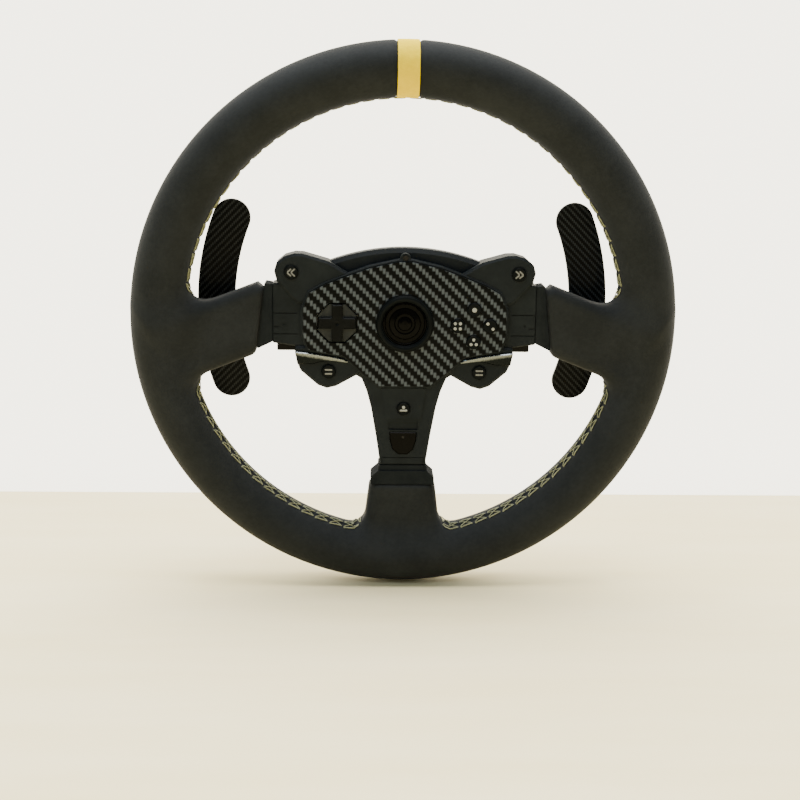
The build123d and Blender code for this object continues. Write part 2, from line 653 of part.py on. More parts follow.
# ---- Paddles, for +X, mirrored for the left ----
PIN_RADIUS = 2.0
BARREL_RADIUS = 5.5
BRACKET_HALF_HEIGHT = 20.5
BARREL_TOP = 5.0
BARREL_BOTTOM = -13.8
EAR_INSIDE = 14.2
BLADE_FRONT = 31.5
BLADE_BACK = 34.0
LEVER_BACK = 38.0
BLADE_WIDTH = 23.2
SPRING_RADIUS = 3.6
SPRING_PITCH = 1.3
SPRING_HEIGHT = 7.0
SPRING_LIFT = 1.2
SPRING_WIRE_RADIUS = 0.5


def upright(x, depth, bottom, top, radius):
    """Vertical cylinder at (x, depth)."""
    with BuildPart() as solid:
        with BuildSketch(Plane.XY.offset(bottom)):
            with Locations((x, depth - SOCKET_MOUTH)):
                Circle(radius)
        extrude(amount=top - bottom)
    return solid.part


def box_between(low, high):
    """Box from two corners given as (x, depth, z)."""
    with BuildPart() as solid:
        with BuildSketch(Plane.XY.offset(low[2])):
            with Locations(((low[0] + high[0]) / 2, (low[1] + high[1]) / 2 - SOCKET_MOUTH)):
                Rectangle(high[0] - low[0], high[1] - low[1])
        extrude(amount=high[2] - low[2])
    return solid.part


blade_screws = [(99.5, 6.5), (99.5, -6.5)]
with BuildSketch() as blade_sketch:
    with BuildLine() as blade_line:
        ThreePointArc((106.6, 58.2), (116.6, 9), (108.0, -43))
    SlotArc(blade_line.edge(), BLADE_WIDTH)
blade = blade_sketch.sketch - discs(blade_screws, 1.6)
lever_plate = rounded_outline([(PIVOT_X + 3, 4.6), (86, 11), (108, 11), (108, -11), (86, -11),
                               (PIVOT_X + 3, -12)], 2)
for side_name, side in (("right", 1), ("left", -1)):
    x = side * PIVOT_X
    with BuildPart() as bracket:
        add(block(one_side(rounded_outline([(66, BRACKET_HALF_HEIGHT), (77.6, BRACKET_HALF_HEIGHT),
                                            (77.6, -BRACKET_HALF_HEIGHT), (66, -BRACKET_HALF_HEIGHT)], 0.8),
                           side), PIVOT_DEPTH, SKIRT_BACK))
        add(upright(x, PIVOT_DEPTH, -BRACKET_HALF_HEIGHT, BRACKET_HALF_HEIGHT, 5.6))
        add(block(one_side(rounded_outline([(57, 12), (68, 12), (68, -12), (57, -12)], 1), side),
                  SKIRT_BACK + 3, SKIRT_BACK))
        add(block(one_side(rounded_outline([(77, 6), (92, 6), (92, -6), (77, -6)], 1), side), 24, 12.5))
        add(block(one_side(rounded_outline([(60, EAR_INSIDE), (80, EAR_INSIDE), (80, -EAR_INSIDE),
                                            (60, -EAR_INSIDE)], 0.5), side), 50, 29), mode=Mode.SUBTRACT)
        add(upright(x, PIVOT_DEPTH, -30, 30, PIN_RADIUS + 0.05), mode=Mode.SUBTRACT)
        add(block(one_side(discs(foot_screws, 1.6), side), 13, 8), mode=Mode.SUBTRACT)
    bracket.part.label = f"paddle_bracket_{side_name}"
    export_step(bracket.part, f"parts/paddle_bracket_{side_name}.step")

    with BuildPart() as pivot_pin:
        add(upright(x, PIVOT_DEPTH, -BRACKET_HALF_HEIGHT, BRACKET_HALF_HEIGHT, PIN_RADIUS))
    pivot_pin.part.label = f"pivot_pin_{side_name}"
    export_step(pivot_pin.part, f"parts/pivot_pin_{side_name}.step")

    with BuildPart() as lever:
        add(upright(x, PIVOT_DEPTH, BARREL_BOTTOM, BARREL_TOP, BARREL_RADIUS))
        add(block(one_side(lever_plate, side), LEVER_BACK, BLADE_BACK))
        add(upright(x, PIVOT_DEPTH, -30, 30, PIN_RADIUS + 0.05), mode=Mode.SUBTRACT)
        add(block(one_side(discs(blade_screws, 1.6), side), 50, 20), mode=Mode.SUBTRACT)
    lever.part.label = f"paddle_lever_{side_name}"
    export_step(lever.part, f"parts/paddle_lever_{side_name}.step")

    with BuildPart() as paddle_blade:
        add(raised(one_side(blade, side), BLADE_BACK, BLADE_FRONT, 0.3))
    paddle_blade.part.label = f"paddle_blade_{side_name}"
    export_step(paddle_blade.part, f"parts/paddle_blade_{side_name}.step")

    with BuildPart() as paddle_screws:
        add(block(one_side(discs(blade_screws, 1.5), side), LEVER_BACK, BLADE_FRONT))
        add(raised(one_side(discs(blade_screws, 2.9), side), BLADE_FRONT, BLADE_FRONT - 1.5, 0.6))
    paddle_screws.part.label = f"paddle_screws_{side_name}"
    export_step(paddle_screws.part, f"parts/paddle_screws_{side_name}.step")

    with BuildPart() as spring:
        with BuildLine() as coil:
            Helix(pitch=SPRING_PITCH, height=SPRING_HEIGHT, radius=SPRING_RADIUS,
                  center=(x, PIVOT_DEPTH - SOCKET_MOUTH, BARREL_TOP + SPRING_LIFT))
        with BuildSketch(Plane(origin=coil.line @ 0, z_dir=coil.line % 0)):
            Circle(SPRING_WIRE_RADIUS)
        sweep(is_frenet=True)
    spring.part.label = f"paddle_spring_{side_name}"
    export_step(spring.part, f"parts/paddle_spring_{side_name}.step")

# ---- Paddle switches and fasteners ----
with BuildPart() as paddle_switches:
    for side in (1, -1):
        add(box_between((min(side * 79, side * 91), 24, -3.2), (max(side * 79, side * 91), 30.3, 3.2)))
        add(block(discs([(side * 85, 0)], 1.2), 30.5, 30.0))
        add(block(discs([(side * 85, 0)], 1.2), 32.0, 30.3))
paddle_switches.part.label = "paddle_switches"
export_step(paddle_switches.part, "parts/paddle_switches.step")


def screw(places, head_back, head_front, head_radius, tip, shank_radius):
    """Screws driven from behind, with a hexagon socket in each head."""
    with BuildPart() as group:
        add(block(discs(places, shank_radius), head_front, tip))
        add(block(discs(places, head_radius), head_back, head_front))
        with BuildSketch(facing(head_back)):
            with Locations(*places):
                RegularPolygon(head_radius / 2, 6)
        extrude(amount=1.2, mode=Mode.SUBTRACT)
    return group.part


with BuildPart() as housing_screws:
    add(screw(screw_places, 8.4, HOUSING_SCREW_SEAT, 2.8, 0.0, 1.2))
housing_screws.part.label = "housing_screws"
export_step(housing_screws.part, "parts/housing_screws.step")

with BuildPart() as bracket_screws:
    add(screw(all_foot_screws, 14.2, 12.0, 2.8, 5.0, 1.4))
bracket_screws.part.label = "bracket_screws"
export_step(bracket_screws.part, "parts/bracket_screws.step")

with BuildPart() as frame_screws:
    for angle in range(0, 360, 60):
        add(turned([(0, -FRAME_HALF), (4.8, -FRAME_HALF), (2.4, 0), (2.4, 8), (0, 8)]).moved(
            Location((FLANGE_BOLT_RADIUS, 0, 0))).rotate(Axis.Y, angle))
    with BuildSketch(facing(-FRAME_HALF)):
        with PolarLocations(FLANGE_BOLT_RADIUS, 6):
            RegularPolygon(1.6, 6)
    extrude(amount=-1.5, mode=Mode.SUBTRACT)
frame_screws.part.label = "frame_screws"
export_step(frame_screws.part, "parts/frame_screws.step")
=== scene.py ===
"""A racing wheel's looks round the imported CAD: leather, stitches, woven carbon, plastic and marks."""

import math

import bmesh
import bpy
import numpy as np
from mathutils import Matrix, Vector
from mathutils.kdtree import KDTree

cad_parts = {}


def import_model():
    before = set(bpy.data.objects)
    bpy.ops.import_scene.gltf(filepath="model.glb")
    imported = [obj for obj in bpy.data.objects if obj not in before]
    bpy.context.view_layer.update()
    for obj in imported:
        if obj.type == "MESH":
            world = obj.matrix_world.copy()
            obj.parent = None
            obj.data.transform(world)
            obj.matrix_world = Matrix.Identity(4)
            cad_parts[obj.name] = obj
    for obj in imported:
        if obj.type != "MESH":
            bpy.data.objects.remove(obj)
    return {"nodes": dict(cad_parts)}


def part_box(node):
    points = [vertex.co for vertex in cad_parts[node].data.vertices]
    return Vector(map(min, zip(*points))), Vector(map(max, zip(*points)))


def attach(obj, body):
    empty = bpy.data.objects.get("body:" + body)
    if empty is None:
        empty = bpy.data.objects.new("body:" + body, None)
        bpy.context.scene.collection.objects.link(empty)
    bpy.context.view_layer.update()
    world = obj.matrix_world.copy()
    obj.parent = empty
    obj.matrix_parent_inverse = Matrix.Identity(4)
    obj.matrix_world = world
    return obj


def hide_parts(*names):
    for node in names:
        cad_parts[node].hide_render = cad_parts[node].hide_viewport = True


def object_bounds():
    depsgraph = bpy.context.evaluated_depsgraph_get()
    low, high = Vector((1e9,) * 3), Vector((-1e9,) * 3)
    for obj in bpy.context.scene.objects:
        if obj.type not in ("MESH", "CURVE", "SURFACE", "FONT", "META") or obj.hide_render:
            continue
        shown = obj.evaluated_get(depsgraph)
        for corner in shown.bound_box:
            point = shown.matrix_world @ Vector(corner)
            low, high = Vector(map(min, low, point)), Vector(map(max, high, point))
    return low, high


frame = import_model()
cad_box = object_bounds()

MM = 0.001

# ---------------------------------------------------------------- sizes, in mm
# x is the driver's right, z is up, and depth is measured behind the rim's mid-plane, away from the driver.
rim_low, rim_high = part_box("rim_foam")
RIM_PLANE = (rim_low.y + rim_high.y) / 2 / MM
RING_RADIUS = 148.5
GRIP_HALF_WIDTH = 16.5
GRIP_HALF_DEPTH = 17.5

SLEEVE_TILT = math.radians(21.5)
SLEEVE_ROOT = (84.5, 3.1)
SLEEVE_HALF_HEIGHT = 19.8
SLEEVE_HALF_DEPTH = 10.4
SLEEVE_ROUNDING = 6.5
SLEEVE_LENGTH = 56.0
SLEEVE_END_POINT = (84.2, 24.0)
SLEEVE_END_LEAN = math.atan(0.12)
LOWER_SLEEVE_TOP = -100.6
LOWER_SLEEVE_HALF_WIDTH = 20.2
LOWER_SLEEVE_SPREAD = 0.12
LOWER_SLEEVE_LENGTH = 42.0
SLEEVE_END_ROUNDING = 3.0
SPOKE_FILLET = 11.0
UPPER_FILLET_EXTRA = 9.0

BAND_HALF_WIDTH = 6.4
BAND_PROUD = 0.22
BAND_TUCK = 0.8
BAND_EDGE_LIFT = 0.14
BAND_THICKNESS = 0.5
BAND_GROOVE = 0.5
BAND_GROOVE_WIDTH = 0.9
CROSS_HALF_WIDTH = 3.3
TRIM_HEIGHT = 2.2
# How far below the trim's top edge its painted highlight fades to dark.
TRIM_PAINTED_HIGHLIGHT = 2.4

SEAM_TILT_LOW = math.radians(18.0)
SEAM_TILT_SIDE = math.radians(6.0)
SEAM_TILT_TOP = math.radians(-17.0)
SEAM_BACK = math.radians(-74.0)
SIDE_SPOKE_ANGLE = math.radians(-5.5)
SIDE_SPOKE_INNER = math.radians(8.2)
SIDE_SPOKE_OUTER = math.radians(14.5)
LOWER_SPOKE_ANGLE = math.radians(-90.0)
LOWER_SPOKE_INNER = math.radians(8.5)
LOWER_SPOKE_OUTER = math.radians(13.0)
STITCH_PITCH = 9.3
STITCH_ROW = 2.8
DASH_RADIUS = 0.36
CROSS_RADIUS = 0.27
DASH_GAP = 0.2
DASH_LEAN = 0.4
DASH_RISE = 0.4
LOW_CROSS_RISE = 0.35
HIGH_CROSS_RISE = 0.7
NEEDLE_DEPTH = 0.9
THREAD_TWIST = 1.9
PLY_SWELL = 0.14
HOLE_SLIP = 0.25

VOXEL = 1.25
FINE_REACH = 6.5
SLIT_DEPTH = 0.75
SLIT_WIDTH = 0.75
EDGE_RISE = 0.35
EDGE_ASIDE = 2.2
EDGE_WIDTH = 1.2
HOLE_DEPTH = 0.55
HOLE_WIDTH = 1.1
PUCKER_RISE = 0.18
PUCKER_ASIDE = 1.8
PUCKER_WIDTH = 1.5
RELIEF_FULL = 7
RELIEF_END = 9


# ---------------------------------------------------------------- mesh helpers


def link(name, mesh, body="wheel", smooth=True):
    """Makes an object of the mesh and lets it ride on a CAD body."""
    piece = bpy.data.objects.new(name, mesh)
    bpy.context.scene.collection.objects.link(piece)
    if smooth:
        mesh.polygons.foreach_set("use_smooth", [True] * len(mesh.polygons))
    if body:
        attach(piece, body)
    return piece


def mesh_of(name, points, faces):
    """A mesh from points in mm, as (x, depth, z), and lists of corners."""
    mesh = bpy.data.meshes.new(name)
    mesh.from_pydata(world(np.asarray(points, float)).tolist(), [], faces)
    mesh.update()
    return mesh


def world(points):
    """From (x, depth, z) in mm to the frame, in metres."""
    placed = points.copy()
    placed[:, 1] += RIM_PLANE
    return placed * MM


def local(points):
    """From the frame, in metres, to (x, depth, z) in mm."""
    placed = points / MM
    placed[:, 1] -= RIM_PLANE
    return placed


# ---------------------------------------------------------------- the leather as a distance field, in mm


def fade(value, low, high):
    t = np.clip((value - low) / (high - low), 0, 1)
    return t * t * (3 - 2 * t)


def smooth_min(a, b, reach):
    near = np.maximum(reach - np.abs(a - b), 0) / reach
    return np.minimum(a, b) - near * near * reach / 4


def smooth_max(a, b, reach):
    return -smooth_min(-a, -b, reach)


def grip_distance(p):
    """Distance to the round grip, whose section is an ellipse."""
    ring = np.hypot(p[:, 0], p[:, 2]) - RING_RADIUS
    scaled = np.hypot(ring / GRIP_HALF_WIDTH, p[:, 1] / GRIP_HALF_DEPTH)
    slope = np.hypot(ring / GRIP_HALF_WIDTH**2, p[:, 1] / GRIP_HALF_DEPTH**2)
    return scaled * (scaled - 1) / np.maximum(slope, 1e-6)


def slab_distance(across, depth, half_width):
    """Distance to an endless bar with rounded long edges."""
    side = np.abs(across) - (half_width - SLEEVE_ROUNDING)
    face = np.abs(depth) - (SLEEVE_HALF_DEPTH - SLEEVE_ROUNDING)
    outside = np.hypot(np.maximum(side, 0), np.maximum(face, 0))
    return outside + np.minimum(np.maximum(side, face), 0) - SLEEVE_ROUNDING


def side_sleeve_distance(p):
    """Both side sleeves at once: they mirror each other across the middle."""
    x = np.abs(p[:, 0]) - SLEEVE_ROOT[0]
    z = p[:, 2] - SLEEVE_ROOT[1]
    along = x * math.cos(SLEEVE_TILT) - z * math.sin(SLEEVE_TILT)
    across = x * math.sin(SLEEVE_TILT) + z * math.cos(SLEEVE_TILT)
    bar = slab_distance(across, p[:, 1], SLEEVE_HALF_HEIGHT)
    end_x = np.abs(p[:, 0]) - SLEEVE_END_POINT[0]
    end_z = p[:, 2] - SLEEVE_END_POINT[1]
    hub_end = -end_x * math.cos(SLEEVE_END_LEAN) - end_z * math.sin(SLEEVE_END_LEAN)
    capped = smooth_max(bar, hub_end, SLEEVE_END_ROUNDING)
    return smooth_max(capped, along - SLEEVE_LENGTH, SLEEVE_END_ROUNDING)


def lower_sleeve_distance(p):
    down = LOWER_SLEEVE_TOP - p[:, 2]
    bar = slab_distance(p[:, 0], p[:, 1], LOWER_SLEEVE_HALF_WIDTH + LOWER_SLEEVE_SPREAD * down)
    capped = smooth_max(bar, -down, SLEEVE_END_ROUNDING)
    return smooth_max(capped, down - LOWER_SLEEVE_LENGTH, SLEEVE_END_ROUNDING)


def skin_distance(p):
    sleeves = np.minimum(side_sleeve_distance(p), lower_sleeve_distance(p))
    return smooth_min(grip_distance(p), sleeves, SPOKE_FILLET + UPPER_FILLET_EXTRA * fade(p[:, 2], -25, 0))


def slope_of(p, step=0.05):
    """Outward unit direction of the leather, with the slope's steepness."""
    slope = np.empty_like(p)
    for axis in range(3):
        nudge = np.zeros(3)
        nudge[axis] = step
        slope[:, axis] = (skin_distance(p + nudge) - skin_distance(p - nudge)) / (2 * step)
    steepness = np.maximum(np.linalg.norm(slope, axis=1, keepdims=True), 1e-6)
    return slope / steepness, steepness[:, 0]


def onto_skin(p, passes=4):
    """Moves points onto the leather's surface."""
    for _ in range(passes):
        outward, steepness = slope_of(p)
        p = p - outward * np.clip(skin_distance(p) / steepness, -4, 4)[:, None]
    return p


# ---------------------------------------------------------------- the seam's line


def angle_from(turn, centre):
    return np.abs((turn - centre + math.pi) % (2 * math.pi) - math.pi)


def seam_points(count):
    """The seam round the inside of the rim. It passes behind each spoke."""
    turn = np.linspace(0, 2 * math.pi, count, endpoint=False) + math.pi / 2
    front = fade(angle_from(turn, SIDE_SPOKE_ANGLE), SIDE_SPOKE_INNER, SIDE_SPOKE_OUTER)
    front *= fade(angle_from(turn, math.pi - SIDE_SPOKE_ANGLE), SIDE_SPOKE_INNER, SIDE_SPOKE_OUTER)
    front *= fade(angle_from(turn, LOWER_SPOKE_ANGLE), LOWER_SPOKE_INNER, LOWER_SPOKE_OUTER)
    facing = SEAM_TILT_LOW + (SEAM_TILT_SIDE - SEAM_TILT_LOW) * fade(np.sin(turn), -1.0, 0.45)
    facing += (SEAM_TILT_TOP - SEAM_TILT_SIDE) * fade(np.sin(turn), 0.40, 0.85)
    tilt = SEAM_BACK + (facing - SEAM_BACK) * front
    reach = RING_RADIUS - GRIP_HALF_WIDTH * np.cos(tilt)
    start = np.stack([reach * np.cos(turn), -GRIP_HALF_DEPTH * np.sin(tilt), reach * np.sin(turn)], 1)
    return onto_skin(start, 8)


class Seam:
    """The seam as closely spaced points, each with the length so far, its direction and the way out."""

    def __init__(self, count=3600):
        self.points = seam_points(count)
        steps = np.linalg.norm(np.roll(self.points, -1, 0) - self.points, axis=1)
        self.length = steps.sum()
        self.reached = np.concatenate([[0], np.cumsum(steps)])
        self.outward, _ = slope_of(self.points)
        along = np.roll(self.points, -1, 0) - np.roll(self.points, 1, 0)
        self.along = along / np.linalg.norm(along, axis=1, keepdims=True)
        self.across = np.cross(self.along, self.outward)
        self.across /= np.linalg.norm(self.across, axis=1, keepdims=True)
        self.tree = KDTree(count)
        for index, point in enumerate(self.points):
            self.tree.insert(point, index)
        self.tree.balance()

    def at(self, distance, values):
        closed = np.vstack([values, values[:1]])
        where = distance % self.length
        return np.stack([np.interp(where, self.reached, closed[:, axis]) for axis in range(3)], 1)

    def place(self, distance, aside, height):
        """A point so far along the seam and so far aside, at a height over the leather."""
        base = self.at(distance, self.points) + self.at(distance, self.across) * aside[:, None]
        base = onto_skin(base, 3)
        outward, _ = slope_of(base)
        return base + outward * height[:, None]

    def beside(self, p):
        """How far along the seam and how far aside each point is, and how far off."""
        nearest = np.array([self.tree.find(point)[1] for point in p])
        gap = p - self.points[nearest]
        along = self.reached[nearest] + (gap * self.along[nearest]).sum(1)
        return along, (gap * self.across[nearest]).sum(1), np.linalg.norm(gap, axis=1)


# ---------------------------------------------------------------- leather skin


def rough_skin():
    """A coarse closed mesh near the leather's shape, for the remesh."""
    shape = bmesh.new()
    turns, sides = 180, 24
    loops = []
    for i in range(turns):
        turn = 2 * math.pi * i / turns
        loop = []
        for j in range(sides):
            tilt = 2 * math.pi * j / sides
            reach = RING_RADIUS + GRIP_HALF_WIDTH * math.cos(tilt)
            point = (reach * math.cos(turn), GRIP_HALF_DEPTH * math.sin(tilt), reach * math.sin(turn))
            loop.append(shape.verts.new(world(np.array([point]))[0]))
        loops.append(loop)
    for i in range(turns):
        for j in range(sides):
            a, b = loops[i], loops[(i + 1) % turns]
            shape.faces.new((a[j], a[(j + 1) % sides], b[(j + 1) % sides], b[j]))
    for side in (-1, 1):
        middle = SLEEVE_LENGTH / 2
        x = side * (SLEEVE_ROOT[0] + middle * math.cos(SLEEVE_TILT))
        z = SLEEVE_ROOT[1] - middle * math.sin(SLEEVE_TILT)
        size = (SLEEVE_LENGTH, 2 * SLEEVE_HALF_DEPTH, 2 * SLEEVE_HALF_HEIGHT)
        add_block(shape, (x, 0, z), size, side * SLEEVE_TILT)
    height = LOWER_SLEEVE_LENGTH
    width = 2 * (LOWER_SLEEVE_HALF_WIDTH + LOWER_SLEEVE_SPREAD * height / 2)
    add_block(shape, (0, 0, LOWER_SLEEVE_TOP - height / 2), (width, 2 * SLEEVE_HALF_DEPTH, height), 0)
    bmesh.ops.recalc_face_normals(shape, faces=shape.faces)
    mesh = bpy.data.meshes.new("leather_skin")
    shape.to_mesh(mesh)
    shape.free()
    return mesh


def add_block(shape, centre, size, turn):
    """A block in mm, turned about the depth axis."""
    place = Matrix.Translation(Vector((centre[0], centre[1] + RIM_PLANE, centre[2])) * MM)
    scale = Matrix.Diagonal((*(Vector(size) * MM), 1))
    bmesh.ops.create_cube(shape, size=1, matrix=place @ Matrix.Rotation(turn, 4, "Y") @ scale)


def apply_modifiers(piece):
    """Leaves the piece with the mesh that its modifiers make."""
    bpy.context.view_layer.update()
    made = bpy.data.meshes.new_from_object(piece.evaluated_get(bpy.context.evaluated_depsgraph_get()))
    old = piece.data
    piece.modifiers.clear()
    piece.data = made
    bpy.data.meshes.remove(old)


def coordinates(mesh):
    values = np.empty(len(mesh.vertices) * 3, np.float64)
    mesh.vertices.foreach_get("co", values)
    return values.reshape(-1, 3)


def relaxed(p, edges):
    """Each point moved to the middle of its neighbours."""
    total = np.zeros_like(p)
    count = np.zeros(len(p))
    for a, b in ((0, 1), (1, 0)):
        np.add.at(total, edges[:, a], p[edges[:, b]])
        np.add.at(count, edges[:, a], 1)
    return total / count[:, None]


def edge_ends(mesh):
    ends = np.empty(len(mesh.edges) * 2, int)
    mesh.edges.foreach_get("vertices", ends)
    return ends.reshape(-1, 2)


def finer(mesh, chosen):
    """Splits the edges whose ends are both chosen."""
    shape = bmesh.new()
    shape.from_mesh(mesh)
    edges = [e for e in shape.edges if chosen[e.verts[0].index] and chosen[e.verts[1].index]]
    bmesh.ops.subdivide_edges(shape, edges=edges, cuts=1, use_grid_fill=True)
    shape.to_mesh(mesh)
    shape.free()


def bell(value, width):
    return np.exp(-((value / width) ** 2))


def seam_relief(seam, p):
    """Height of the leather beside the seam: a closed slit, two turned edges and a pucker at each hole."""
    along, aside, off = seam.beside(p)
    height = -SLIT_DEPTH * bell(aside, SLIT_WIDTH)
    height += EDGE_RISE * bell(np.abs(aside) - EDGE_ASIDE, EDGE_WIDTH)
    step = (along + STITCH_PITCH / 2) % STITCH_PITCH - STITCH_PITCH / 2
    hole = np.hypot(step, np.abs(aside) - STITCH_ROW)
    height -= HOLE_DEPTH * bell(hole, HOLE_WIDTH)
    pull = np.cos(math.pi * step / STITCH_PITCH) ** 2
    height += PUCKER_RISE * bell(np.abs(aside) - STITCH_ROW - PUCKER_ASIDE, PUCKER_WIDTH) * pull
    return height * fade(-off, -RELIEF_END, -RELIEF_FULL)


def make_skin(seam):
    mesh = rough_skin()
    skin = link("leather_skin", mesh)
    remesh = skin.modifiers.new("remesh", "REMESH")
    remesh.mode = "VOXEL"
    remesh.voxel_size = VOXEL * MM
    remesh.use_smooth_shade = True
    apply_modifiers(skin)
    mesh = skin.data
    p = onto_skin(local(coordinates(mesh)))
    edges = edge_ends(mesh)
    for _ in range(3):
        p = onto_skin(relaxed(p, edges), 2)
    mesh.vertices.foreach_set("co", world(p).ravel())
    inner = np.hypot(p[:, 0], p[:, 2]) < RING_RADIUS
    off = np.full(len(p), 99.0)
    off[inner] = seam.beside(p[inner])[2]
    finer(mesh, off < FINE_REACH)
    p = onto_skin(local(coordinates(mesh)), 2)
    outward, _ = slope_of(p)
    height = np.zeros(len(p))
    near = np.hypot(p[:, 0], p[:, 2]) < RING_RADIUS
    height[near] = seam_relief(seam, p[near])
    band_edge = np.abs(p[:, 0]) - BAND_HALF_WIDTH - BAND_GROOVE
    height -= np.where(p[:, 2] > 0, BAND_GROOVE * bell(band_edge, BAND_GROOVE_WIDTH), 0)
    height -= np.where((p[:, 2] > 0) & (band_edge < 0), BAND_GROOVE, 0)
    mesh.vertices.foreach_set("co", world(p + outward * height[:, None]).ravel())
    mesh.update()
    mesh.polygons.foreach_set("use_smooth", [True] * len(mesh.polygons))
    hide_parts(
        "leather_upper_left", "leather_upper_right", "leather_lower_left", "leather_lower_right"
    )
    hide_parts("sleeve_left", "sleeve_right", "sleeve_lower")
    return skin


def make_band():
    """The yellow band at the top of the rim, a little proud, with its two cut edges tucked down."""
    across = np.array([-1.0, -1.0, -0.985, -0.95, *np.linspace(-0.85, 0.85, 15), 0.95, 0.985, 1.0, 1.0])
    edge_lift = [-BAND_TUCK, 0, BAND_EDGE_LIFT]
    lift = np.array([*edge_lift, *[BAND_PROUD] * 17, *reversed(edge_lift)])
    sides = 96
    points, faces = [], []
    for x, height in zip(across * BAND_HALF_WIDTH, lift):
        for j in range(sides):
            tilt = 2 * math.pi * j / sides
            reach = RING_RADIUS + (GRIP_HALF_WIDTH + height) * math.cos(tilt)
            points.append((x, (GRIP_HALF_DEPTH + height) * math.sin(tilt), math.sqrt(reach**2 - x**2)))
    for i in range(len(across) - 1):
        for j in range(sides):
            a, b = i * sides + j, i * sides + (j + 1) % sides
            faces.append((a, a + sides, b + sides, b))
    band = link("yellow_band", mesh_of("yellow_band", points, faces))
    solid = band.modifiers.new("thickness", "SOLIDIFY")
    solid.thickness = BAND_THICKNESS * MM
    solid.offset = -1
    apply_modifiers(band)
    band.data.polygons.foreach_set("use_smooth", [True] * len(band.data.polygons))
    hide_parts("centre_band")
    return band


# ---------------------------------------------------------------- stitches


def thread_path(seam, start, end, side_start, side_end, rise, steps=10):
    """The centre line of one stitch, from one needle hole to another."""
    t = np.linspace(0, 1, steps + 1)
    arch = 1 - (2 * t - 1) ** 6
    height = -NEEDLE_DEPTH + (NEEDLE_DEPTH + rise) * arch
    return seam.place(start + (end - start) * t, side_start + (side_end - side_start) * t, height)


def add_thread(points, faces, path, radius):
    """A two-ply thread round the path, with closed ends."""
    sides = 8
    ahead = np.gradient(path, axis=0)
    ahead /= np.linalg.norm(ahead, axis=1, keepdims=True)
    outward, _ = slope_of(path)
    right = np.cross(ahead, outward)
    right /= np.maximum(np.linalg.norm(right, axis=1, keepdims=True), 1e-6)
    up = np.cross(right, ahead)
    travelled = np.concatenate([[0], np.cumsum(np.linalg.norm(np.diff(path, axis=0), axis=1))])
    first = len(points)
    for k in range(len(path)):
        for j in range(sides):
            turn = 2 * math.pi * j / sides
            ply = 1 + PLY_SWELL * math.cos(2 * (turn - THREAD_TWIST * travelled[k]))
            offset = right[k] * math.cos(turn) + up[k] * math.sin(turn)
            points.append(path[k] + offset * radius * ply)
    for k in range(len(path) - 1):
        for j in range(sides):
            a, b = first + k * sides + j, first + k * sides + (j + 1) % sides
            faces.append((a, b, b + sides, a + sides))
    faces.append([first + j for j in reversed(range(sides))])
    faces.append([first + (len(path) - 1) * sides + j for j in range(sides)])


def make_stitches(seam):
    """Crossed stitches between two rows of straight ones."""
    count = round(seam.length / STITCH_PITCH)
    pitch = seam.length / count
    points, faces = [], []
    chance = np.random.default_rng(7)
    for i in range(count):
        start, end = i * pitch, (i + 1) * pitch
        slip = chance.uniform(-HOLE_SLIP, HOLE_SLIP, 6)
        first, last = start + DASH_GAP, end - DASH_GAP
        near, far = -STITCH_ROW, STITCH_ROW
        lines = [
            thread_path(seam, start + slip[0], end + slip[1], near, far, LOW_CROSS_RISE),
            thread_path(seam, start + slip[2], end + slip[3], far, near, HIGH_CROSS_RISE),
            thread_path(seam, first + slip[4], last, near - DASH_LEAN, near + DASH_LEAN, DASH_RISE),
            thread_path(seam, first + slip[5], last, far + DASH_LEAN, far - DASH_LEAN, DASH_RISE),
        ]
        for path, radius in zip(lines, (CROSS_RADIUS, CROSS_RADIUS, DASH_RADIUS, DASH_RADIUS)):
            add_thread(points, faces, path, radius)
    thread = link("cross_stitching", mesh_of("cross_stitching", points, faces))
    return thread


# ---------------------------------------------------------------- marks on the keys


def flat_piece(name, outlines, body, front, lift=0.12, sink=0.25):
    """Thin inlays from closed outlines of (x, z) points in metres, a little proud of a key's front."""
    shape = bmesh.new()
    for outline in outlines:
        back = [shape.verts.new((x, front + sink * MM, z)) for x, z in outline]
        rim = [shape.verts.new((x, front - lift * MM * 0.6, z)) for x, z in outline]
        middle = sum((Vector(point) for point in outline), Vector((0, 0))) / len(outline)
        inner = []
        for x, z in outline:
            towards = middle - Vector((x, z))
            towards *= min(0.12 * MM / max(towards.length, 1e-9), 0.5)
            inner.append(shape.verts.new((x + towards.x, front - lift * MM, z + towards.y)))
        count = len(outline)
        for low, high in ((back, rim), (rim, inner)):
            for k in range(count):
                shape.faces.new((low[k], low[(k + 1) % count], high[(k + 1) % count], high[k]))
        shape.faces.new(inner)
        shape.faces.new(list(reversed(back)))
    bmesh.ops.recalc_face_normals(shape, faces=shape.faces)
    mesh = bpy.data.meshes.new(name)
    shape.to_mesh(mesh)
    shape.free()
    piece = link(name, mesh, body, smooth=False)
    return piece


def pip(x, z, radius, sides=20):
    """A round dot."""
    turns = [2 * math.pi * k / sides for k in range(sides)]
    return [(x + radius * math.cos(turn), z + radius * math.sin(turn)) for turn in turns]


def bar(x, z, length, width, turn=0.0):
    """A straight bar with rounded ends."""
    outline = []
    half = (length - width) / 2
    for side in (1, -1):
        for k in range(9):
            angle = -math.pi / 2 + math.pi * k / 8
            px = side * (half + width / 2 * math.cos(angle))
            pz = side * width / 2 * math.sin(angle)
            turned_x = px * math.cos(turn) - pz * math.sin(turn)
            turned_z = px * math.sin(turn) + pz * math.cos(turn)
            outline.append((x + turned_x, z + turned_z))
    return outline


def centre_of(node):
    low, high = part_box(node)
    return (low.x + high.x) / 2, low.y, (low.z + high.z) / 2


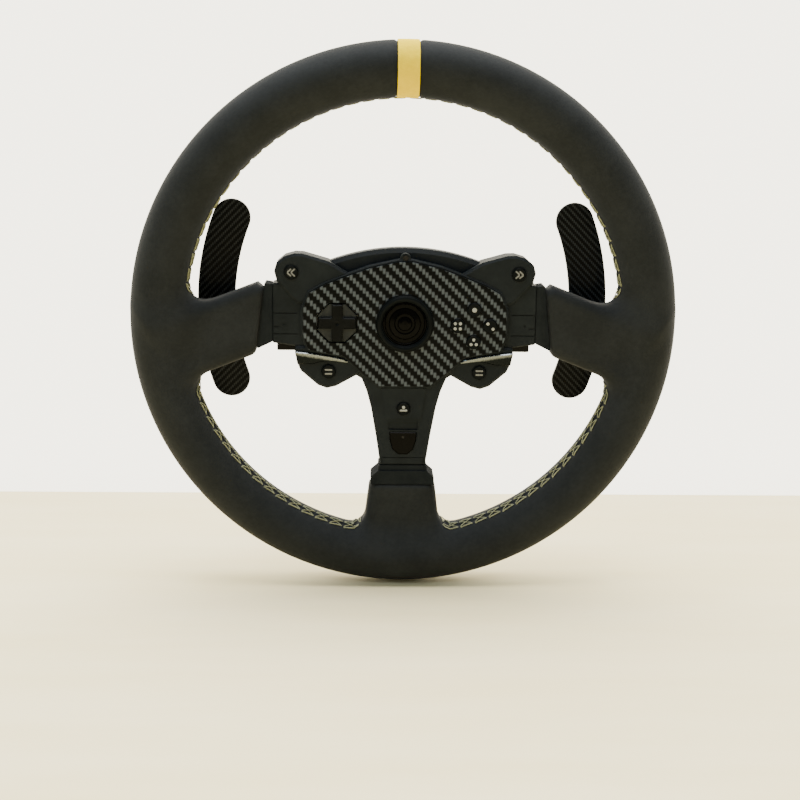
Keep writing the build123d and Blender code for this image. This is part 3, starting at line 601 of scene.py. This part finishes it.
def make_marks():
    pips = {
        "face_button_top": [(0, 0)],
        "face_button_right": [(-1, 1), (1, -1)],
        "face_button_bottom": [(-1, -0.8), (1, -0.8), (0, 1)],
        "face_button_left": [(-1, -1), (1, -1), (-1, 1), (1, 1)],
    }
    spread, dot = 1.55 * MM, 0.95 * MM
    for button, places in pips.items():
        x, front, z = centre_of(button)
        radius = dot * (1.5 if len(places) == 1 else 1)
        outlines = [pip(x + i * spread, z + k * spread, radius) for i, k in places]
        pieces.append(flat_piece(f"mark_{button}", outlines, button, front))
    for button, side in (("ear_button_upper_left", -1), ("ear_button_upper_right", 1)):
        x, front, z = centre_of(button)
        lean = side * math.radians(42)
        arms = [(k, step) for k in (-1, 1) for step in (-1.1, 1.1)]
        outlines = [
            bar(x + step * MM, z + k * 1.15 * MM, 3.2 * MM, 0.95 * MM, -k * lean) for k, step in arms
        ]
        pieces.append(flat_piece(f"mark_{button}", outlines, button, front))
    for button in ("ear_button_lower_left", "ear_button_lower_right"):
        x, front, z = centre_of(button)
        outlines = [bar(x, z + k * 1.2 * MM, 4.6 * MM, 1.05 * MM) for k in (-1, 1)]
        pieces.append(flat_piece(f"mark_{button}", outlines, button, front))
    x, front, z = centre_of("home_button")
    outlines = [bar(x, z - 0.9 * MM, 4.8 * MM, 1.1 * MM), pip(x, z + 1.1 * MM, 0.95 * MM)]
    pieces.append(flat_piece("mark_home_button", outlines, "home_button", front))


# ---------------------------------------------------------------- materials


class Graph:
    """A node material on one Principled shader, laid out in object coordinates: metres in the frame."""

    def __init__(self, name, **constants):
        self.material = bpy.data.materials.new(name)
        self.material.use_nodes = True
        self.tree = self.material.node_tree
        self.shader = self.tree.nodes["Principled BSDF"]
        self.place = self.add("ShaderNodeTexCoord").outputs["Object"]
        for key, value in constants.items():
            self.shader.inputs[key.replace("_", " ")].default_value = value

    def add(self, kind, inputs=None, **settings):
        node = self.tree.nodes.new(kind)
        for key, value in settings.items():
            setattr(node, key, value)
        for key, value in (inputs or {}).items():
            self.feed(node.inputs[key], value)
        return node

    def feed(self, socket, value):
        if isinstance(value, bpy.types.NodeSocket):
            self.tree.links.new(value, socket)
        else:
            socket.default_value = value

    def math(self, operation, *values):
        node = self.add("ShaderNodeMath", operation=operation)
        for socket, value in zip(node.inputs, values):
            self.feed(socket, value)
        return node.outputs[0]

    def noise(self, scale, detail=3.0, roughness=0.55, vector=None):
        vector = vector or self.place
        inputs = {"Vector": vector, "Scale": scale, "Detail": detail, "Roughness": roughness}
        return self.add("ShaderNodeTexNoise", inputs).outputs[0]

    def cells(self, scale, feature="F1", randomness=1.0, vector=None):
        inputs = {"Vector": vector or self.place, "Scale": scale, "Randomness": randomness}
        return self.add("ShaderNodeTexVoronoi", inputs, feature=feature).outputs["Distance"]

    def span(self, value, low, high, new_low, new_high, smooth=False):
        kind = "SMOOTHSTEP" if smooth else "LINEAR"
        inputs = {0: value, 1: low, 2: high, 3: new_low, 4: new_high}
        return self.add("ShaderNodeMapRange", inputs, interpolation_type=kind).outputs[0]

    def colour(self, factor, first, second):
        node = self.add("ShaderNodeMix", data_type="RGBA")
        self.feed(node.inputs[0], factor)
        self.feed(node.inputs[6], first if isinstance(first, bpy.types.NodeSocket) else (*first, 1))
        self.feed(node.inputs[7], second if isinstance(second, bpy.types.NodeSocket) else (*second, 1))
        return node.outputs[2]

    def bump(self, height, depth, strength=1.0, normal=None):
        inputs = {"Height": height, "Distance": depth, "Strength": strength}
        node = self.add("ShaderNodeBump", inputs)
        if normal is not None:
            self.feed(node.inputs["Normal"], normal)
        return node.outputs[0]

    def set(self, name, value):
        self.feed(self.shader.inputs[name], value)

    def stretched(self, across, up, scale_across, scale_up):
        """Flat coordinates with a scale of their own each way, for fibres that run one way."""
        scaled_across = self.math("MULTIPLY", across, scale_across)
        scaled_up = self.math("MULTIPLY", up, scale_up)
        return self.add("ShaderNodeCombineXYZ", {0: scaled_across, 2: scaled_up}).outputs[0]

    def axis(self, name):
        return self.add("ShaderNodeSeparateXYZ", {0: self.place}).outputs[name]


def leather(name, dark, light, rough_low, rough_high):
    """Fine-grained leather: small pebbles, finer pores and slow patches of colour and polish."""
    g = Graph(name, IOR=1.13, Sheen_Weight=0.01, Sheen_Roughness=0.4)
    pebbles = g.cells(1150, "SMOOTH_F1")
    creases = g.cells(620, "DISTANCE_TO_EDGE")
    pores = g.noise(5200, 2)
    patches = g.noise(38, 4, 0.6)
    tone = g.math("ADD", g.math("MULTIPLY", patches, 0.7), g.math("MULTIPLY", g.noise(420, 3), 0.3))
    g.set("Base Color", g.colour(g.span(tone, 0.32, 0.68, 0, 1, True), dark, light))
    polish = g.math("ADD", g.math("MULTIPLY", patches, 0.6), g.math("MULTIPLY", pores, 0.4))
    g.set("Roughness", g.span(polish, 0.3, 0.7, rough_low, rough_high))
    grain = g.bump(pebbles, 0.00009, 0.55)
    grain = g.bump(g.span(creases, 0, 0.12, 0, 1, True), 0.00005, 0.35, grain)
    g.set("Normal", g.bump(pores, 0.00003, 0.4, grain))
    return g.material


def thread_material():
    g = Graph("thread_yellow", IOR=1.3, Sheen_Weight=0.2, Sheen_Roughness=0.4)
    fibres = g.noise(3800, 2)
    shade = g.span(fibres, 0.3, 0.7, 0, 1)
    # Painted shade: the thread's colours are far darker than the pale yellow thread itself, evenly all
    # along the seam; the fibre noise varies its tone at random.
    g.set("Base Color", g.colour(shade, (0.145, 0.150, 0.080), (0.31, 0.32, 0.205)))
    g.set("Roughness", g.span(g.noise(900, 2), 0.3, 0.7, 0.5, 0.75))
    g.set("Normal", g.bump(fibres, 0.00008, 0.6))
    return g.material


def moulded(name, dark, light, rough_low, rough_high, texture=1500, depth=0.00004, **constants):
    """Moulded or painted surface: fine spark-eroded texture with slow changes in tone and polish."""
    g = Graph(name, **constants)
    fine, slow = g.noise(texture, 3, 0.6), g.noise(45, 3)
    scuffs = g.noise(160, 5, 0.7)
    tone = g.math("ADD", g.math("MULTIPLY", slow, 0.6), g.math("MULTIPLY", scuffs, 0.4))
    g.set("Base Color", g.colour(g.span(tone, 0.35, 0.65, 0, 1), dark, light))
    polish = g.math("ADD", g.math("MULTIPLY", scuffs, 0.5), g.math("MULTIPLY", fine, 0.5))
    g.set("Roughness", g.span(polish, 0.32, 0.68, rough_low, rough_high))
    g.set("Normal", g.bump(fine, depth, 0.5))
    return g.material


def carbon_twill(name, tow_width, bright, dim, gap, lean=1):
    """A 2/2 twill: each tow passes over two and under two, and each row starts one tow along or back. Its
    colour holds painted light: a painted sheen on the tows that run up, and painted shade towards each
    tow's sides and where it dips under.
    """
    g = Graph(name, IOR=1.1, Coat_Weight=0.03, Coat_Roughness=0.16)
    split = g.add("ShaderNodeSeparateXYZ", {0: g.place}).outputs
    across, up = g.math("DIVIDE", split["X"], lean * tow_width), g.math("DIVIDE", split["Z"], tow_width)
    count = g.math("ADD", g.math("FLOOR", across), g.math("FLOOR", up))
    order = g.math("FLOORED_MODULO", count, 4.0)
    upright = g.math("LESS_THAN", order, 1.5)
    in_across, in_up = g.math("FRACT", across), g.math("FRACT", up)
    side = g.add("ShaderNodeMix", {0: upright, 2: in_up, 3: in_across}, data_type="FLOAT").outputs[0]
    crown = g.math("SINE", g.math("MULTIPLY", side, math.pi))
    lengthways = g.add("ShaderNodeMix", {0: upright, 2: in_across, 3: in_up}, data_type="FLOAT").outputs[0]
    along = g.math("MULTIPLY", g.math("ADD", g.math("FLOORED_MODULO", order, 2.0), lengthways), 0.5)
    painted_dip_shade = g.math("SINE", g.math("MULTIPLY", along, math.pi))
    fibre_up = g.noise(1.0, 2, 0.5, g.stretched(across, up, 9.0, 0.8))
    fibre_across = g.noise(1.0, 2, 0.5, g.stretched(across, up, 0.8, 9.0))
    fibre = g.add("ShaderNodeMix", {0: upright, 2: fibre_across, 3: fibre_up}, data_type="FLOAT").outputs[0]
    # Painted shade: darker towards each tow's sides, following its rounded crown; the fibre streaks give
    # the tow's own tone.
    shade = g.math("MULTIPLY", g.span(crown, 0, 0.7, 0.35, 1, True), g.span(fibre, 0.3, 0.7, 0.6, 1.25))
    # Painted shade: darker towards the ends of each float, where the tow dips under the next.
    shade = g.math("MULTIPLY", shade, g.span(painted_dip_shade, 0.0, 0.75, 0.25, 1.0, True))
    # Painted sheen: the tows that run up take the bright colour and those across take the dim one, though
    # both are the same black fibre.
    tow = g.colour(upright, dim, bright)
    # Where the shade factor is low the colour goes to gap: the dark between tows, and also the painted
    # shade on each tow's sides and dips.
    g.set("Base Color", g.colour(shade, gap, tow))
    g.set("Roughness", g.span(fibre, 0.3, 0.7, 0.30, 0.48))
    relief = g.math("ADD", g.math("MULTIPLY", crown, 0.8), g.math("MULTIPLY", fibre, 0.25))
    g.set("Normal", g.bump(relief, 0.0001, 0.5))
    return g.material


def brushed(name, dark, light, rough_low, rough_high):
    """Bare or plated metal with fine turning marks."""
    g = Graph(name, Metallic=1.0)
    stretch = g.add("ShaderNodeMapping", {0: g.place, 3: (1.0, 1.0, 14.0)}).outputs[0]
    lines = g.noise(420, 3, 0.6, stretch)
    g.set("Base Color", g.colour(g.span(g.noise(90, 3), 0.35, 0.65, 0, 1), dark, light))
    g.set("Roughness", g.span(lines, 0.3, 0.7, rough_low, rough_high))
    g.set("Normal", g.bump(lines, 0.00002, 0.4))
    return g.material


def trim_material():
    """Dark plated trim with a painted highlight: its colour is bright along the sloping upper edge and
    fades to dark below, standing in for the plating's reflection.
    """
    low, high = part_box("trim_right")
    slope = (high.z - low.z - TRIM_HEIGHT * MM) / (high.x - low.x)
    g = Graph("trim_dark_painted_highlight", Metallic=1.0)
    out = g.math("SUBTRACT", g.math("ABSOLUTE", g.axis("X")), low.x)
    top_edge = g.math("ADD", g.math("MULTIPLY", out, slope), high.z - slope * (high.x - low.x))
    below = g.math("SUBTRACT", top_edge, g.axis("Z"))
    lines = g.noise(900, 3)
    fall = g.math("ADD", below, g.span(lines, 0.3, 0.7, -0.0002, 0.0002))
    painted_highlight = g.span(fall, 0.4 * MM, TRIM_PAINTED_HIGHLIGHT * MM, 0, 1, True)
    # Painted highlight: bright colour at the trim's top edge, dark further down.
    g.set("Base Color", g.colour(painted_highlight, (0.16, 0.175, 0.185), (0.008, 0.0095, 0.0105)))
    g.set("Roughness", g.span(lines, 0.3, 0.7, 0.22, 0.34))
    g.set("Normal", g.bump(lines, 0.00002, 0.4))
    return g.material


def board_material():
    g = Graph("board_green", Coat_Weight=0.3, Coat_Roughness=0.2)
    tracks = g.cells(260, "F1", 0.0)
    g.set("Base Color", g.colour(g.span(tracks, 0.42, 0.46, 0, 1), (0.008, 0.05, 0.02), (0.02, 0.10, 0.04)))
    g.set("Roughness", g.span(g.noise(300, 3), 0.3, 0.7, 0.35, 0.55))
    g.set("Normal", g.bump(tracks, 0.00004, 0.5))
    return g.material


def foam_material():
    g = Graph("foam_grey")
    pores = g.cells(1400)
    g.set("Base Color", g.colour(g.span(pores, 0.1, 0.6, 0, 1), (0.05, 0.05, 0.05), (0.12, 0.12, 0.12)))
    g.set("Roughness", g.span(g.noise(500, 2), 0.3, 0.7, 0.8, 0.95))
    g.set("Normal", g.bump(pores, 0.0002, 0.6))
    return g.material


def ink_material(name, dark, light):
    g = Graph(name)
    grain = g.noise(2600, 2)
    g.set("Base Color", g.colour(g.span(grain, 0.3, 0.7, 0, 1), dark, light))
    g.set("Roughness", g.span(g.noise(700, 2), 0.3, 0.7, 0.4, 0.6))
    g.set("Normal", g.bump(grain, 0.00002, 0.4))
    return g.material


def pad_material():
    """The direction pad: four lighter quadrants round a darker cross."""
    x, _, z = centre_of("dpad")
    g = Graph("plastic_pad", IOR=1.14)
    arms = []
    for axis, centre in (("X", x), ("Z", z)):
        off = g.math("ABSOLUTE", g.math("SUBTRACT", g.axis(axis), centre))
        arms.append(g.math("GREATER_THAN", off, CROSS_HALF_WIDTH * MM))
    quadrant = g.math("MULTIPLY", arms[0], arms[1])
    slow = g.noise(240, 3)
    dark = g.colour(g.span(slow, 0.35, 0.65, 0, 1), (0.0020, 0.0026, 0.0030), (0.0036, 0.0044, 0.0050))
    light = g.colour(g.span(slow, 0.35, 0.65, 0, 1), (0.020, 0.0225, 0.0245), (0.028, 0.031, 0.033))
    g.set("Base Color", g.colour(quadrant, dark, light))
    fine = g.noise(1500, 3, 0.6)
    g.set("Roughness", g.span(fine, 0.32, 0.68, 0.32, 0.45))
    g.set("Normal", g.bump(fine, 0.00003, 0.5))
    return g.material


def floor_material(name, dark, light):
    g = Graph(name, Specular_IOR_Level=0.2)
    stretch = g.add("ShaderNodeMapping", {0: g.place, 3: (1.0, 7.0, 1.0)}).outputs[0]
    figure = g.noise(4.0, 4, 0.55, stretch)
    g.set("Base Color", g.colour(g.span(figure, 0.3, 0.7, 0, 1), dark, light))
    g.set("Roughness", g.span(g.noise(60, 3), 0.3, 0.7, 0.6, 0.75))
    return g.material


# ---------------------------------------------------------------- the making

pieces = []
seam_line = Seam()
skin = make_skin(seam_line)
band = make_band()
stitching = make_stitches(seam_line)
make_marks()

BLACK_LEATHER = ((0.0134, 0.0154, 0.0174), (0.0190, 0.0215, 0.0242))
YELLOW_LEATHER = ((0.74, 0.53, 0.0005), (0.88, 0.65, 0.001))
BLACK_PLASTIC = ((0.0090, 0.0114, 0.0136), (0.0147, 0.0180, 0.0211))
COLLAR_PLASTIC = ((0.0100, 0.0122, 0.0142), (0.0155, 0.0182, 0.0208))
GLOSS_PLASTIC = ((0.0008, 0.0008, 0.0008), (0.0018, 0.0018, 0.0018))
KEY_PLASTIC = ((0.0034, 0.0044, 0.0050), (0.0056, 0.0070, 0.0078))
BLACK_METAL = ((0.004, 0.004, 0.0042), (0.008, 0.008, 0.0085))
SCREW_METAL = ((0.010, 0.010, 0.0105), (0.02, 0.02, 0.02))
GREY_SILICONE = ((0.12, 0.12, 0.12), (0.18, 0.18, 0.18))
SMOKED_LENS = ((0.006, 0.006, 0.007), (0.012, 0.012, 0.013))
# Twill tones (bright, dim, gap): painted sheen on the tows that run up, the dim tows across, and the dark
# between tows, which also serves as painted shade.
PLATE_TONES = ((0.074, 0.088, 0.106), (0.0020, 0.0026, 0.0032), (0.0005, 0.0006, 0.0006))
BLADE_TONES = ((0.028, 0.032, 0.036), (0.0032, 0.0038, 0.0044), (0.0012, 0.0014, 0.0016))
PLATE_TOW = 1.96 * MM
BLADE_TOW = 1.1 * MM

# One material for each of the CAD's material slots.
MATERIALS = {
    "leather": leather("leather_black", *BLACK_LEATHER, 0.58, 0.72),
    "yellow_leather": leather("leather_yellow", *YELLOW_LEATHER, 0.56, 0.70),
    "foam": foam_material(),
    "frame_metal": brushed("aluminium_raw", (0.45, 0.45, 0.46), (0.62, 0.62, 0.63), 0.30, 0.48),
    "black_plastic": moulded("plastic_black", *BLACK_PLASTIC, 0.42, 0.58, IOR=1.12),
    "carbon": carbon_twill("carbon_woven", PLATE_TOW, *PLATE_TONES),
    "gloss_black": moulded("plastic_gloss", *GLOSS_PLASTIC, 0.10, 0.20, 500, 0.00001, IOR=1.12),
    "key_plastic": moulded("plastic_key", *KEY_PLASTIC, 0.30, 0.42, IOR=1.10),
    "bright_trim": trim_material(),
    "steel": brushed("steel_plated", (0.42, 0.42, 0.43), (0.60, 0.60, 0.61), 0.22, 0.40),
    "black_metal": moulded("metal_black", *BLACK_METAL, 0.36, 0.52, 2200, 0.00003, IOR=1.16),
    "screw_black": moulded("screw_oxide", *SCREW_METAL, 0.28, 0.42, 1200, 0.00002, IOR=1.2),
    "board": board_material(),
    "silicone": moulded("silicone_grey", *GREY_SILICONE, 0.5, 0.65),
    "lens": moulded("lens_smoked", *SMOKED_LENS, 0.10, 0.2, 600, 0.00001, IOR=1.2),
}


def dress(piece, material):
    piece.data.materials.clear()
    piece.data.materials.append(material)


for node in frame["nodes"].values():
    slots = node.data.materials
    for index, old in enumerate(slots):
        slots[index] = MATERIALS[old.name.split(".")[0]]

for side, lean in (("left", -1), ("right", 1)):
    blade_carbon = carbon_twill(f"carbon_blade_{side}", BLADE_TOW, *BLADE_TONES, lean)
    frame["nodes"][f"paddle_blade_{side}"].data.materials[0] = blade_carbon
collar_plastic = moulded("plastic_collar", *COLLAR_PLASTIC, 0.66, 0.80, IOR=1.06)
for side in ("left", "right", "lower"):
    frame["nodes"][f"collar_{side}"].data.materials[0] = collar_plastic
frame["nodes"]["dpad"].data.materials[0] = pad_material()

dress(skin, MATERIALS["leather"])
dress(band, MATERIALS["yellow_leather"])
dress(stitching, thread_material())
bright_ink = ink_material("mark_pale", (0.22, 0.23, 0.235), (0.30, 0.31, 0.315))
dim_ink = ink_material("mark_dim", (0.10, 0.105, 0.11), (0.16, 0.165, 0.17))
for mark in pieces:
    dress(mark, dim_ink if "ear" in mark.name else bright_ink)


# ---------------------------------------------------------------- stage, light and camera


def make_floor(name, low_corner, high_corner, height, material):
    mesh = bpy.data.meshes.new(name)
    (x0, y0), (x1, y1) = low_corner, high_corner
    corners = [(x0, y0, height), (x1, y0, height), (x1, y1, height), (x0, y1, height)]
    mesh.from_pydata(corners, [], [(0, 1, 2, 3)])
    floor = link(name, mesh, body=None, smooth=False)
    dress(floor, material)


FLOOR_GAP = 0.4 * MM
TABLE_BACK = 0.125
floor_height = cad_box[0].z - FLOOR_GAP
table_material = floor_material("table_pale", (0.87, 0.76, 0.45), (0.92, 0.82, 0.53))
make_floor("table_top", (-3, -3), (3, TABLE_BACK), floor_height, table_material)


def area_light(name, place, target, size, power, tint=(1, 1, 1)):
    data = bpy.data.lights.new(name, "AREA")
    data.shape = "RECTANGLE"
    data.size, data.size_y = size
    data.energy = power
    data.color = tint
    lamp = bpy.data.objects.new(name, data)
    bpy.context.scene.collection.objects.link(lamp)
    lamp.location = place
    lamp.rotation_euler = (Vector(target) - Vector(place)).to_track_quat("-Z", "Y").to_euler()


CEILING_POWER = 66
CEILING_TINT = (1.0, 0.995, 0.97)
FILL_POWER = 13
FILL_TINT = (0.68, 0.87, 1.0)
area_light("ceiling", (0.0, 0.0, 1.7), (0, -0.05, 0), (1.5, 1.1), CEILING_POWER, CEILING_TINT)
area_light("front_fill", (-0.7, -1.4, 1.5), (0, -0.05, 0), (1.0, 0.8), FILL_POWER, FILL_TINT)


def studio_world(behind, ahead):
    """Plain pale surroundings: bright behind the wheel, softer on the driver's side."""
    world_data = bpy.data.worlds.new("studio")
    world_data.use_nodes = True
    tree = world_data.node_tree
    sky = tree.nodes["Background"]
    split = tree.nodes.new("ShaderNodeSeparateXYZ")
    tree.links.new(tree.nodes.new("ShaderNodeTexCoord").outputs["Generated"], split.inputs[0])
    ease = tree.nodes.new("ShaderNodeMapRange")
    ease.interpolation_type = "SMOOTHSTEP"
    for index, value in ((1, -0.25), (2, 0.55), (3, ahead), (4, behind)):
        ease.inputs[index].default_value = value
    tree.links.new(split.outputs["Y"], ease.inputs[0])
    ground = tree.nodes.new("ShaderNodeMapRange")
    ground.interpolation_type = "SMOOTHSTEP"
    for index, value in ((1, -0.55), (2, -0.24), (3, 0.26), (4, 1.0)):
        ground.inputs[index].default_value = value
    tree.links.new(split.outputs["Z"], ground.inputs[0])
    both = tree.nodes.new("ShaderNodeMath")
    both.operation = "MULTIPLY"
    tree.links.new(ease.outputs[0], both.inputs[0])
    tree.links.new(ground.outputs[0], both.inputs[1])
    tree.links.new(both.outputs[0], sky.inputs["Strength"])
    sky.inputs["Color"].default_value = (1.0, 0.945, 0.79, 1)
    bpy.context.scene.world = world_data


studio_world(behind=4.8, ahead=0.24)

CAMERA_DISTANCE = 0.80
CAMERA_HEIGHT_ANGLE = math.radians(9.5)
CAMERA_SIDE_ANGLE = math.radians(-2.07)
FOCAL_LENGTH = 59.2
LOOK_BELOW = math.radians(3.45)
LOOK_ASIDE = math.radians(0.185)
CAMERA_ROLL = math.radians(0.9)

rim_centre = Vector((0, RIM_PLANE * MM, 0))
direction = Vector(
    (
        math.sin(CAMERA_SIDE_ANGLE) * math.cos(CAMERA_HEIGHT_ANGLE),
        -math.cos(CAMERA_SIDE_ANGLE) * math.cos(CAMERA_HEIGHT_ANGLE),
        math.sin(CAMERA_HEIGHT_ANGLE),
    )
)
camera_data = bpy.data.cameras.new("camera")
camera_data.lens = FOCAL_LENGTH
camera_data.sensor_width = 36
camera = bpy.data.objects.new("camera", camera_data)
bpy.context.scene.collection.objects.link(camera)
looking = (-direction).to_track_quat("-Z", "Y").to_matrix()
rolled = looking @ Matrix.Rotation(CAMERA_ROLL, 3, "Z")
turned = rolled @ Matrix.Rotation(-LOOK_BELOW, 3, "X") @ Matrix.Rotation(LOOK_ASIDE, 3, "Y")
camera.matrix_world = Matrix.Translation(rim_centre + direction * CAMERA_DISTANCE) @ turned.to_4x4()
bpy.context.scene.camera = camera
